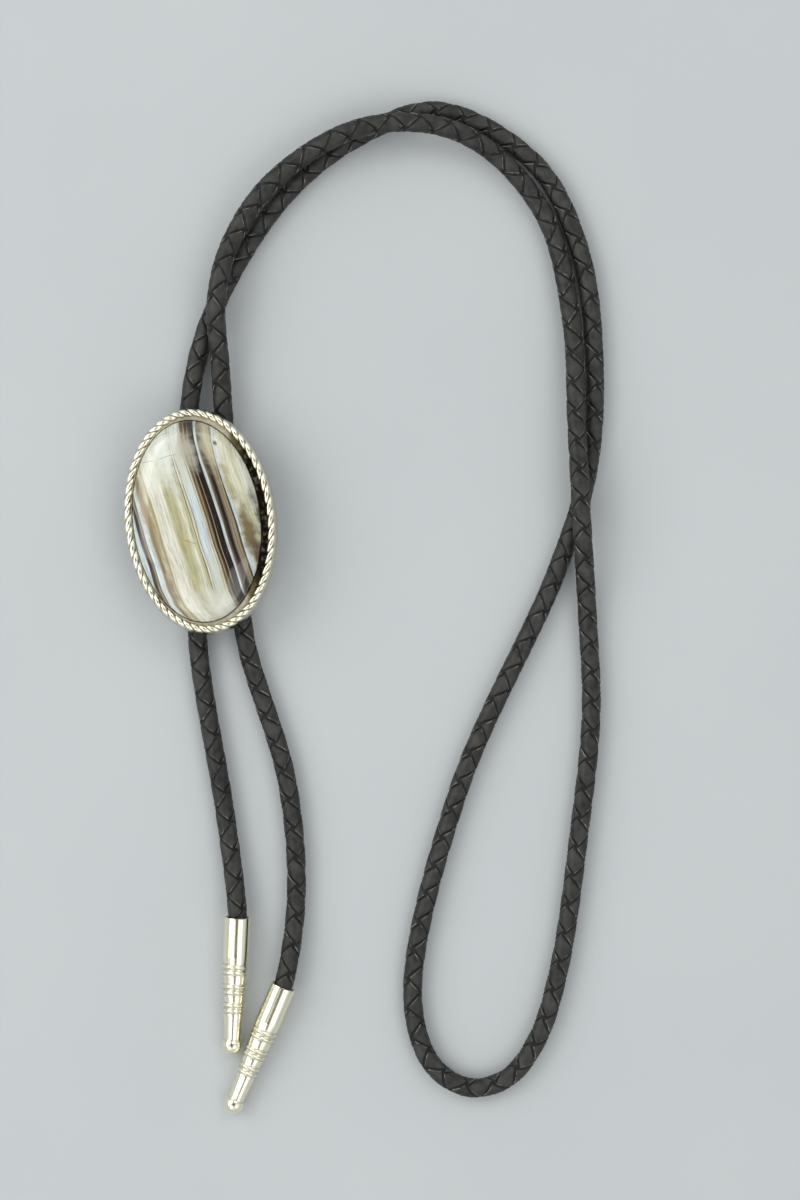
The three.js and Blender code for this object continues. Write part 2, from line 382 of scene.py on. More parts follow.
def braided_leather_material():
    """Black leather, with painted shade where a lace dips under the next, and paler cut edges that
    are wear with a painted highlight.
    """
    material, tree, shader = new_material("braided_leather", Specular_IOR_Level=0.4)
    lace = add_node(tree, "Attribute", attribute_name="lace").outputs["Vector"]
    place = add_node(tree, "TexCoord").outputs["Object"]
    parts = add_node(tree, "SeparateXYZ", {"Vector": lace}).outputs
    edge = add_node(tree, "Math", {0: parts["Y"]}, operation="ABSOLUTE").outputs[0]
    edge = add_node(
        tree,
        "MapRange",
        {"Value": edge, "From Min": 0.87, "From Max": 0.95},
        interpolation_type="SMOOTHSTEP",
    ).outputs[0]
    # Painted shade: very dark where a lace dips under the next, for the shade in the crevice
    dip_shade = add_node(
        tree,
        "MapRange",
        {"Value": parts["Z"], "From Min": 0.74, "From Max": 0.44},
        interpolation_type="SMOOTHSTEP",
    ).outputs[0]
    grain = place_group(
        tree, fine_grain, {"Vector": place, "Grain Scale": 2600.0, "Mottle Scale": 380.0}
    ).outputs
    # Paler cut edges: wear, with a painted highlight along them
    wear_and_highlight = place_group(
        tree, worn_highlit_edge, {"Vector": place, "Edge": edge, "Scale": 700.0, "Amount": 0.68}
    ).outputs["Mask"]

    scuffed = add_node(
        tree, "MapRange", {"Value": grain["Mottle"], "From Min": 0.3, "From Max": 0.72}
    ).outputs[0]
    body = add_node(
        tree,
        "MixRGB",
        {"Fac": scuffed, "Color1": paint(20, 20, 19), "Color2": paint(62, 62, 58)},
    )
    edge_wear_and_highlight = add_node(
        tree,
        "MixRGB",
        {"Fac": wear_and_highlight, "Color1": body.outputs[0], "Color2": paint(176, 172, 160)},
    )
    color = add_node(
        tree,
        "MixRGB",
        {"Fac": dip_shade, "Color1": edge_wear_and_highlight.outputs[0], "Color2": paint(4, 4, 4)},
    )
    rough = add_node(
        tree, "MapRange", {"Value": grain["Mottle"], "To Min": 0.42, "To Max": 0.66}
    )
    fold = add_node(
        tree, "Bump", {"Height": dip_shade, "Strength": 0.8, "Distance": 0.00035}, invert=True
    )
    bump = add_node(
        tree,
        "Bump",
        {
            "Height": grain["Height"],
            "Strength": 0.5,
            "Distance": 0.00007,
            "Normal": fold.outputs[0],
        },
    )
    finish_material(tree, shader, color.outputs[0], rough.outputs[0], bump.outputs[0])
    return material


cord.data.materials.append(braided_leather_material())
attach(cord, "root")
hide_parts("cord")


# Tips: two tapered ends of nickel silver, turned and then polished. Each has three pairs of
# raised rings on its taper and a ball at its end, and is bored at the mouth for the cord.
tip_length = 0.0319
tip_mouth_r = 0.0030
tip_bore_r = 0.00255
tip_bore_depth = 0.009
tip_straight = 0.009
tip_taper = 0.95
tip_neck_r = 0.00175
tip_ball_r = 0.00225
tip_ball_at = tip_length - tip_ball_r
ring_starts = (0.0113, 0.0159, 0.0202)
ring_pair_step = 0.00135
ring_half_width = 0.00027
ring_rise = 0.00020
groove_at = 1.9 * ring_half_width
groove_half_width = 0.00022
groove_depth = 0.00003
groove_tarnish = 0.45
closing_r = 0.00002
tip_row_step = 0.00013
tip_ball_rows = 22
tip_columns = 56


def tip_outline():
    """The turned outline, as (radius, place along the tip, depth of the hollow there)."""
    neck = math.asin(tip_neck_r / tip_ball_r)
    neck_at = tip_ball_at - tip_ball_r * math.cos(neck)
    outline = [
        (closing_r, tip_bore_depth, 1.0),
        (tip_bore_r, tip_bore_depth, 1.0),
        (tip_bore_r, 0.0003, 0.6),
        (tip_bore_r + 0.00005, 0.00006, 0.0),
        (tip_bore_r + 0.00015, 0.0, 0.0),
        (tip_mouth_r - 0.00018, 0.0, 0.0),
        (tip_mouth_r - 0.00005, 0.00005, 0.0),
    ]
    for at in np.arange(0.0002, neck_at, tip_row_step):
        share = max(0.0, at - tip_straight) / (tip_ball_at - tip_straight)
        radius = tip_mouth_r + (tip_neck_r - tip_mouth_r) * share**tip_taper
        rings = [at - start - step for start in ring_starts for step in (0.0, ring_pair_step)]
        nearest = min(rings, key=abs)
        ring = math.exp(-((nearest / ring_half_width) ** 4))
        beside = math.exp(-(((abs(nearest) - groove_at) / groove_half_width) ** 2))
        radius += ring_rise * ring - groove_depth * beside
        outline.append((radius, at, groove_tarnish * beside))
    # The ball, with tarnish where it meets the neck
    for angle in np.linspace(neck + 0.06, math.pi - 0.01, tip_ball_rows):
        hollow = max(0.0, 0.5 - (angle - neck) / 0.5)
        at = tip_ball_at - tip_ball_r * math.cos(angle)
        outline.append((tip_ball_r * math.sin(angle), at, hollow))
    return np.array(outline)


def polished_metal_group():
    """Polished nickel silver: its colour, darker in the hollows (tarnished on the tips, painted
    shade on the rope and the cup), with its roughness and the height of fine polishing lines. Lines
    is the place with the lines' direction squeezed."""
    inputs = [
        ("Vector", "NodeSocketVector", None),
        ("Lines", "NodeSocketVector", None),
        ("Hollow", "NodeSocketFloat", 0.0),
        ("Bright", "NodeSocketColor", paint(248, 244, 219)),
        ("Hollow Color", "NodeSocketColor", paint(112, 102, 70)),
        ("Line Scale", "NodeSocketFloat", 900.0),
        ("Satin", "NodeSocketFloat", 0.0),
    ]
    outputs = [
        ("Color", "NodeSocketColor"),
        ("Roughness", "NodeSocketFloat"),
        ("Height", "NodeSocketFloat"),
    ]
    tree, given, result = new_group("polished_metal", inputs, outputs)
    lines = add_node(
        tree, "TexNoise", {"Vector": given["Lines"], "Scale": given["Line Scale"], "Detail": 3.0}
    ).outputs["Fac"]
    cloud = add_node(
        tree, "TexNoise", {"Vector": given["Vector"], "Scale": 700.0, "Detail": 4.0}
    ).outputs["Fac"]
    uneven = add_node(tree, "MapRange", {"Value": cloud, "To Min": 0.4, "To Max": 1.3})
    dark = add_node(
        tree,
        "Math",
        {0: given["Hollow"], 1: uneven.outputs[0]},
        operation="MULTIPLY",
        use_clamp=True,
    ).outputs[0]
    color = add_node(
        tree,
        "MixRGB",
        {"Fac": dark, "Color1": given["Bright"], "Color2": given["Hollow Color"]},
    )
    polish = add_node(tree, "MapRange", {"Value": lines, "To Min": 0.07, "To Max": 0.2})
    satin = add_node(
        tree, "Math", {0: polish.outputs[0], 1: given["Satin"]}, operation="ADD"
    ).outputs[0]
    rough = add_node(tree, "MapRange", {"Value": dark, "To Min": satin, "To Max": 0.55})
    tree.links.new(color.outputs[0], result["Color"])
    tree.links.new(rough.outputs[0], result["Roughness"])
    tree.links.new(lines, result["Height"])
    return tree


polished_metal = polished_metal_group()


def tip_metal_material():
    """Polished nickel silver, with fine lines round the tip from its turning."""
    material, tree, shader = new_material("tip_metal", Metallic=1.0)
    turned = add_node(tree, "Attribute", attribute_name="turned").outputs["Vector"]
    place = add_node(tree, "TexCoord").outputs["Object"]
    parts = add_node(tree, "SeparateXYZ", {"Vector": turned}).outputs
    around = add_node(
        tree, "CombineXYZ", {"X": parts["X"], "Y": parts["Y"], "Z": 0.0}
    ).outputs[0]
    lines = add_node(
        tree, "VectorMath", {0: around, 1: (1.0, 0.12, 1.0)}, operation="MULTIPLY"
    ).outputs[0]
    metal = place_group(
        tree,
        polished_metal,
        {
            "Vector": place,
            "Lines": lines,
            "Hollow": parts["Z"],
            "Line Scale": 2200.0,
            "Satin": 0.07,
        },
    ).outputs
    bump = add_node(
        tree, "Bump", {"Height": metal["Height"], "Strength": 0.12, "Distance": 0.00004}
    )
    finish_material(tree, shader, metal["Color"], metal["Roughness"], bump.outputs[0])
    return material


tip_metal = tip_metal_material()
outline = tip_outline()
for name, tip in tips.items():
    ahead = tip_direction(tip)
    side = np.cross(ahead, (0.0, 0.0, 1.0))
    side /= np.linalg.norm(side)
    up = np.cross(side, ahead)
    angles = np.linspace(0.0, 2 * math.pi, tip_columns, endpoint=False)
    outward = np.cos(angles)[:, None] * side + np.sin(angles)[:, None] * up
    rows = np.array([tip_point(tip, at) + radius * outward for radius, at, hollow in outline])
    piece = loft_piece(name.replace("tip", "metal_tip"), [rows], sharp=50.0)
    marks = [
        (angle * tip_mouth_r, at, hollow) for radius, at, hollow in outline for angle in angles
    ]
    mark_points(piece, "turned", marks)
    piece.data.materials.append(tip_metal)
    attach(piece, "root")
    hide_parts(name)


# Clip: the plain finding on the back of the setting. A flat plate carries a block with two
# channels for the cord, stamped from steel and left with a satin finish.
def clip_metal_material():
    """Satin steel, with fine lines along the cord's way."""
    material, tree, shader = new_material("clip_metal", Metallic=1.0)
    place = add_node(tree, "TexCoord").outputs["Object"]
    lines = add_node(
        tree, "VectorMath", {0: place, 1: (1.0, 0.06, 1.0)}, operation="MULTIPLY"
    ).outputs[0]
    grain = place_group(
        tree, fine_grain, {"Vector": lines, "Grain Scale": 3000.0, "Mottle Scale": 180.0}
    ).outputs
    color = add_node(
        tree,
        "MixRGB",
        {"Fac": grain["Mottle"], "Color1": paint(150, 148, 142), "Color2": paint(188, 186, 178)},
    )
    rough = add_node(
        tree, "MapRange", {"Value": grain["Mottle"], "To Min": 0.28, "To Max": 0.5}
    )
    bump = add_node(
        tree, "Bump", {"Height": grain["Height"], "Strength": 0.2, "Distance": 0.00003}
    )
    finish_material(tree, shader, color.outputs[0], rough.outputs[0], bump.outputs[0])
    return material


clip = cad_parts["cord_clip"]
clip.data.materials.clear()
clip.data.materials.append(clip_metal_material())


# Setting: an oval cup of nickel silver with a rope edge, which is two wires twisted together,
# laid on top of the wall and soldered there. Solder fills the rope, so only a fine groove shows
# between the wires.
setting_half_width = 0.0170
setting_half_length = 0.0255
setting_base_z = 0.0072
setting_wall_top_z = 0.0114
setting_floor_z = 0.0082
setting_flare = 0.0004
stone_half_width = 0.0144
stone_half_length = 0.0229
stone_shift = -0.0006
stone_clearance = 0.0001
lip_land = 0.00035
lip_z = 0.01175
rope_r = 0.0009
rope_groove = 0.34
rope_groove_steepness = 5
rope_turns = 27
rope_steps = rope_turns * 28
rope_columns = 36
oval_columns = 160


def oval_row(half_width, half_length, z, shift=0.0):
    angles = np.linspace(0.0, 2 * math.pi, oval_columns, endpoint=False)
    across = half_width * np.cos(angles) + shift
    along = half_length * np.sin(angles)
    return np.stack([across, along, np.full(oval_columns, z)], axis=-1)


def outer_row(inset, z):
    return oval_row(setting_half_width - inset, setting_half_length - inset, z)


def inner_row(grow, z):
    clear = stone_clearance + grow
    return oval_row(stone_half_width + clear, stone_half_length + clear, z, stone_shift)


# The cup's skin from the middle of its back out and up the wall, over the land inside the rope,
# and down to the floor that the stone lies on
cup_rows = [
    oval_row(closing_r, closing_r, setting_base_z),
    outer_row(0.0002 - setting_flare, setting_base_z),
    outer_row(0.00005 - setting_flare, setting_base_z + 0.00006),
    outer_row(-setting_flare, setting_base_z + 0.00022),
    outer_row(-setting_flare, setting_base_z + 0.0006),
    outer_row(0.00005, setting_base_z + 0.0022),
    outer_row(0.0003, setting_wall_top_z - 0.0009),
    outer_row(0.0009, setting_wall_top_z),
    inner_row(lip_land, lip_z - 0.00004),
    inner_row(lip_land - 0.00008, lip_z),
    inner_row(0.00008, lip_z),
    inner_row(0.0, lip_z - 0.00008),
    inner_row(0.0, setting_floor_z),
    oval_row(closing_r, closing_r, setting_floor_z, stone_shift),
]
cup = loft_piece("setting_cup", [np.array(cup_rows)], sharp=30.0)


def rope_rows():
    """The rope edge as rings of points on its way round the oval. Each ring is two full lobes,
    which turn as the wires twist. The third of its marks is how deep in the groove it lies."""
    angles = np.linspace(0.0, 2 * math.pi, rope_steps, endpoint=False)
    half_width = setting_half_width - rope_r
    half_length = setting_half_length - rope_r
    level = np.zeros_like(angles)
    middle = np.stack([half_width * np.cos(angles), half_length * np.sin(angles), level], axis=-1)
    middle[:, 2] = setting_wall_top_z
    outward = np.stack([half_length * np.cos(angles), half_width * np.sin(angles), level], axis=-1)
    outward /= np.linalg.norm(outward, axis=1)[:, None]
    turns = np.linspace(0.0, 2 * math.pi, rope_columns, endpoint=False)[None, :]
    groove = np.abs(np.sin(turns + rope_turns * angles[:, None])) ** rope_groove_steepness
    reach = rope_r * (1.0 - rope_groove * groove)
    up = np.array([0.0, 0.0, 1.0])
    ring = np.cos(turns)[..., None] * outward[:, None] + np.sin(turns)[..., None] * up
    rows = middle[:, None] + reach[..., None] * ring
    marks = np.stack(np.broadcast_arrays(angles[:, None], turns, groove), axis=-1)
    return rows, marks


rows, marks = rope_rows()
rope = loft_piece("rope_edge", [rows], ring=True, sharp=180.0)
mark_points(rope, "wire", marks)


def rope_metal_material():
    """Polished nickel silver, with painted olive shade in the groove between the wires."""
    material, tree, shader = new_material("rope_metal", Metallic=1.0)
    wire = add_node(tree, "Attribute", attribute_name="wire").outputs["Vector"]
    place = add_node(tree, "TexCoord").outputs["Object"]
    parts = add_node(tree, "SeparateXYZ", {"Vector": wire}).outputs
    # Painted shade: the groove between the wires is darkened to olive
    hollow = add_node(
        tree,
        "MapRange",
        {"Value": parts["Z"], "From Min": 0.55, "From Max": 1.0, "To Max": 1.1},
        interpolation_type="SMOOTHSTEP",
    ).outputs[0]
    metal = place_group(
        tree,
        polished_metal,
        {
            "Vector": place,
            "Lines": place,
            "Hollow": hollow,
            "Hollow Color": paint(128, 118, 84),
            "Line Scale": 1500.0,
            "Satin": 0.12,
        },
    ).outputs
    bump = add_node(
        tree, "Bump", {"Height": metal["Height"], "Strength": 0.15, "Distance": 0.00005}
    )
    finish_material(tree, shader, metal["Color"], metal["Roughness"], bump.outputs[0])
    return material


def cup_metal_material():
    """The wall is polished. The narrow land inside the rope is tarnished olive with painted shade,
    and turns to a painted dark shade down the right side, where the land is broadest."""
    material, tree, shader = new_material("cup_metal", Metallic=1.0)
    place = add_node(tree, "TexCoord").outputs["Object"]
    parts = add_node(tree, "SeparateXYZ", {"Vector": place}).outputs
    # Painted shade: the land is darkened much more down the right side, to a very dark colour
    right_shade = add_node(
        tree,
        "MapRange",
        {"Value": parts["X"], "From Min": 0.008, "From Max": 0.0125},
        interpolation_type="SMOOTHSTEP",
    ).outputs[0]
    amount = add_node(
        tree, "MapRange", {"Value": right_shade, "To Min": 0.7, "To Max": 3.0}
    ).outputs[0]
    hollow = add_node(
        tree,
        "MapRange",
        {"Value": parts["Z"], "From Min": 0.0104, "From Max": 0.0113, "To Max": amount},
        interpolation_type="SMOOTHSTEP",
    ).outputs[0]
    lines = add_node(
        tree, "VectorMath", {0: place, 1: (0.15, 0.15, 1.0)}, operation="MULTIPLY"
    ).outputs[0]
    patches = add_node(tree, "TexNoise", {"Vector": place, "Scale": 900.0, "Detail": 3.0})
    specks = add_node(
        tree, "MapRange", {"Value": patches.outputs["Fac"], "From Min": 0.5, "From Max": 0.75}
    )
    # Painted shade colour: very dark, with paler specks
    shade_dark = add_node(
        tree,
        "MixRGB",
        {"Fac": specks.outputs[0], "Color1": paint(24, 21, 18), "Color2": paint(110, 104, 88)},
    )
    # Land colour: olive tarnished metal with painted shade, going to the painted very dark shade on
    # the right
    tarnish_and_shade = add_node(
        tree,
        "MixRGB",
        {"Fac": right_shade, "Color1": paint(122, 112, 72), "Color2": shade_dark.outputs[0]},
    )
    metal = place_group(
        tree,
        polished_metal,
        {
            "Vector": place,
            "Lines": lines,
            "Hollow": hollow,
            "Bright": paint(222, 218, 204),
            "Hollow Color": tarnish_and_shade.outputs[0],
            "Line Scale": 2500.0,
            "Satin": 0.1,
        },
    ).outputs
    bump = add_node(
        tree, "Bump", {"Height": metal["Height"], "Strength": 0.2, "Distance": 0.00004}
    )
    finish_material(tree, shader, metal["Color"], metal["Roughness"], bump.outputs[0])
    return material


cup.data.materials.append(cup_metal_material())
rope.data.materials.append(rope_metal_material())
for piece in (cup, rope):
    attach(piece, "root")
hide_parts("setting")


# Stone: an oval cabochon of banded agate, cut with a low dome and polished like glass. It lies
# in the cup, held by the wall. The bands run along the stone and swing to the right at its
# lower end.
stone_floor_z = 0.0085
stone_edge_z = 0.0118
stone_dome = 0.0041
stone_bevel = 0.0003
dome_fullness = 2.5
dome_rows = 34

stone_rows = [
    oval_row(closing_r, closing_r, stone_floor_z),
    oval_row(stone_half_width - stone_bevel, stone_half_length - stone_bevel, stone_floor_z),
    oval_row(stone_half_width, stone_half_length, stone_floor_z + stone_bevel),
    oval_row(stone_half_width, stone_half_length, stone_edge_z - 0.0002),
]
for share in np.sin(np.linspace(math.pi / 2, 0.001, dome_rows)):
    rise = (1.0 - share**dome_fullness) ** (1.0 / dome_fullness)
    size = (share * stone_half_width, share * stone_half_length)
    stone_rows.append(oval_row(*size, stone_edge_z + stone_dome * rise))
stone_rows = np.array(stone_rows)
stone_rows[..., 0] += stone_shift
stone = loft_piece("agate_stone", [stone_rows], sharp=40.0)

bands_lean = math.radians(7.0)
# How far the bands have swung to the right at places along them, in millimetres
swing_at = [-24.0, -20.8, -19.2, -15.8, -10.2, -5.6, 0.0, 4.5, 9.0, 13.6, 18.1, 22.6]
swing = [11.3, 8.6, 7.2, 5.5, 3.9, 2.3, 0.7, -0.8, -2.3, -3.9, -5.1, -5.7]

surface = stone_rows.reshape(-1, 3) * 1000.0
along = surface[:, 0] * math.sin(bands_lean) + surface[:, 1] * math.cos(bands_lean)
across = surface[:, 0] * math.cos(bands_lean) - surface[:, 1] * math.sin(bands_lean)
across = across - np.interp(along, swing_at, swing)
mark_points(stone, "bands", np.stack([across, along, surface[:, 2]], axis=-1))

blue_white = (206, 219, 219)
milk = (226, 226, 212)
cream = (222, 220, 198)
pale_olive = (204, 202, 168)
olive = (188, 184, 142)
tan = (166, 152, 118)
rust = (138, 112, 82)
grey_brown = (118, 108, 93)
brown = (78, 64, 50)
black_brown = (40, 34, 32)

# The bands from the left edge to the right, as the place across in millimetres and the colour
left_bands = [
    (-15.6, blue_white),
    (-15.2, blue_white),
    (-15.05, brown),
    (-14.7, black_brown),
    (-14.45, brown),
    (-14.3, grey_brown),
    (-14.1, tan),
    (-13.85, brown),
    (-13.6, blue_white),
    (-12.8, blue_white),
    (-12.4, tan),
    (-11.9, grey_brown),
    (-11.6, tan),
    (-10.9, pale_olive),
    (-10.2, tan),
    (-9.8, cream),
    (-8.2, milk),
    (-6.7, cream),
    (-6.1, olive),
    (-4.9, olive),
    (-4.1, pale_olive),
    (-3.4, milk),
    (-2.9, pale_olive),
    (-2.2, olive),
    (-2.0, brown),
    (-1.85, cream),
    (-1.6, cream),
    (-1.5, rust),
    (-1.35, blue_white),
    (0.5, blue_white),
]
right_bands = [
    (0.5, blue_white),
    (0.75, tan),
    (0.95, cream),
    (1.25, rust),
    (1.5, brown),
    (1.75, tan),
    (2.0, brown),
    (2.3, black_brown),
    (2.55, black_brown),
    (2.75, tan),
    (2.95, black_brown),
    (4.15, black_brown),
    (4.3, blue_white),
    (4.7, blue_white),
    (4.9, grey_brown),
    (5.3, brown),
    (5.6, black_brown),
    (6.0, black_brown),
    (6.3, grey_brown),
    (6.7, tan),
    (6.95, grey_brown),
    (7.4, tan),
    (7.65, black_brown),
    (7.8, black_brown),
    (7.95, blue_white),
    (8.5, blue_white),
    (9.0, cream),
    (11.5, pale_olive),
    (13.0, milk),
    (20.0, milk),
]

# Stains in the stone, and painted reflection, the milky veil of the overhead light on the dome: the
# middle and the reach, across and along the bands in millimetres, then the colour and the strength
stone_patches = {
    "painted_reflection_top": ((1.7, 15.4), (3.4, 6.2), (184, 180, 164), 0.85),
    "painted_reflection_left": ((-8.6, 12.0), (3.4, 8.0), (208, 210, 194), 0.6),
    "painted_reflection_upper": ((-4.3, 16.5), (4.4, 13.0), (214, 219, 211), 0.85),
    "painted_reflection_low": ((-3.0, -20.0), (6.8, 8.0), (213, 214, 202), 0.8),
    "dark_low": ((3.2, -17.0), (2.2, 5.5), (50, 47, 44), 0.85),
    "painted_reflection_right": ((6.7, 19.5), (2.5, 13.0), (200, 194, 162), 0.66),
    "cream_band": ((-0.5, 14.0), (1.3, 13.0), (206, 204, 182), 0.7),
    "cream_end": ((-0.3, -14.5), (1.4, 9.5), (206, 205, 182), 0.8),
    "dark_top": ((2.8, 24.2), (3.0, 5.0), (44, 36, 37), 0.97),
    "olive_upper": ((8.9, 9.5), (1.5, 7.5), (156, 146, 100), 0.85),
    "olive_right": ((10.0, -3.0), (2.6, 9.0), (114, 99, 56), 0.97),
    "brown_edge": ((13.6, -1.0), (2.0, 11.0), (70, 58, 44), 0.95),
    "brown_low": ((10.6, -9.0), (2.0, 7.0), (80, 66, 50), 0.9),
    "rust_left": ((-12.0, 0.0), (1.7, 14.0), (150, 128, 92), 0.8),
    "rust_middle": ((-4.7, -5.2), (3.0, 1.6), (190, 166, 118), 0.5),
    "rust_low": ((-11.2, -15.5), (0.9, 5.0), (118, 92, 62), 0.8),
    "dark_spot": ((8.6, 17.5), (0.6, 0.7), (70, 58, 34), 0.95),
}

# Fine cracks: where each starts and ends across the stone, in metres
stone_cracks = [
    ((-0.0078, 0.0197, 0.0), (-0.0044, 0.0207, 0.0)),
    ((-0.0114, 0.0144, 0.0), (-0.0086, 0.0146, 0.0)),
    ((-0.0072, 0.0148, 0.0), (-0.0032, 0.0155, 0.0)),
    ((-0.0034, -0.0041, 0.0), (-0.0010, -0.0052, 0.0)),
]


def band_colors(tree, across, bands):
    """The bands' colours by the place across, from a list of places and colours."""
    first, last = bands[0][0], bands[-1][0]
    share = add_node(tree, "MapRange", {"Value": across, "From Min": first, "From Max": last})
    ramp = add_node(tree, "ValToRGB", {"Fac": share.outputs[0]})
    stops = ramp.color_ramp.elements
    stops[0].color = paint(*bands[0][1])
    stops[1].color = paint(*bands[-1][1])
    for place, color in bands[1:-1]:
        stops.new((place - first) / (last - first)).color = paint(*color)
    return ramp.outputs["Color"]


def soft_patch_group():
    """An oval place with a soft, uneven edge. Place and Reach are in the vector's own units. The
    distance, as a share of the reach and with noise added, fades the mask from 0.75 to 1.6."""
    inputs = [
        ("Vector", "NodeSocketVector", None),
        ("Noise", "NodeSocketFloat", 0.5),
        ("Place", "NodeSocketVector", (0.0, 0.0, 0.0)),
        ("Reach", "NodeSocketVector", (1.0, 1.0, 1.0)),
        ("Strength", "NodeSocketFloat", 1.0),
    ]
    tree, given, result = new_group("soft_patch", inputs, [("Mask", "NodeSocketFloat")])
    away = add_node(
        tree, "VectorMath", {0: given["Vector"], 1: given["Place"]}, operation="SUBTRACT"
    ).outputs[0]
    flat = add_node(
        tree, "VectorMath", {0: away, 1: (1.0, 1.0, 0.0)}, operation="MULTIPLY"
    ).outputs[0]
    share = add_node(
        tree, "VectorMath", {0: flat, 1: given["Reach"]}, operation="DIVIDE"
    ).outputs[0]
    length = add_node(tree, "VectorMath", {0: share}, operation="LENGTH").outputs["Value"]
    uneven = add_node(tree, "Math", {0: given["Noise"], 1: 1.2}, operation="MULTIPLY").outputs[0]
    length = add_node(tree, "Math", {0: length, 1: uneven}, operation="ADD").outputs[0]
    mask = add_node(
        tree,
        "MapRange",
        {"Value": length, "From Min": 1.6, "From Max": 0.75, "To Max": given["Strength"]},
        interpolation_type="SMOOTHSTEP",
    )
    tree.links.new(mask.outputs[0], result["Mask"])
    return tree


def fine_crack_group():
    """A thin uneven line from one place to another."""
    inputs = [
        ("Vector", "NodeSocketVector", None),
        ("Start", "NodeSocketVector", (0.0, 0.0, 0.0)),
        ("End", "NodeSocketVector", (1.0, 0.0, 0.0)),
        ("Half Width", "NodeSocketFloat", 0.00009),
    ]
    tree, given, result = new_group("fine_crack", inputs, [("Mask", "NodeSocketFloat")])
    flat = add_node(
        tree, "VectorMath", {0: given["Vector"], 1: (1.0, 1.0, 0.0)}, operation="MULTIPLY"
    ).outputs[0]
    waver = add_node(tree, "TexNoise", {"Vector": flat, "Scale": 700.0, "Detail": 3.0})
    waver = add_node(
        tree, "VectorMath", {0: waver.outputs["Color"], 1: (0.5, 0.5, 0.5)}, operation="SUBTRACT"
    ).outputs[0]
    waver = add_node(
        tree, "VectorMath", {0: waver, 1: (0.0009, 0.0009, 0.0)}, operation="MULTIPLY"
    ).outputs[0]
    flat = add_node(tree, "VectorMath", {0: flat, 1: waver}, operation="ADD").outputs[0]
    ahead = add_node(
        tree, "VectorMath", {0: given["End"], 1: given["Start"]}, operation="SUBTRACT"
    ).outputs[0]
    away = add_node(
        tree, "VectorMath", {0: flat, 1: given["Start"]}, operation="SUBTRACT"
    ).outputs[0]
    reached = add_node(
        tree, "VectorMath", {0: away, 1: ahead}, operation="DOT_PRODUCT"
    ).outputs["Value"]
    whole = add_node(
        tree, "VectorMath", {0: ahead, 1: ahead}, operation="DOT_PRODUCT"
    ).outputs["Value"]
    share = add_node(
        tree, "Math", {0: reached, 1: whole}, operation="DIVIDE", use_clamp=True
    ).outputs[0]
    nearest = add_node(
        tree, "VectorMath", {0: ahead, "Scale": share}, operation="SCALE"
    ).outputs[0]
    distance = add_node(
        tree, "VectorMath", {0: away, 1: nearest}, operation="DISTANCE"
    ).outputs["Value"]
    mask = add_node(
        tree,
        "MapRange",
        {"Value": distance, "From Min": given["Half Width"], "From Max": 0.0, "To Max": 0.75},
        interpolation_type="SMOOTHSTEP",
    )
    tree.links.new(mask.outputs[0], result["Mask"])
    return tree


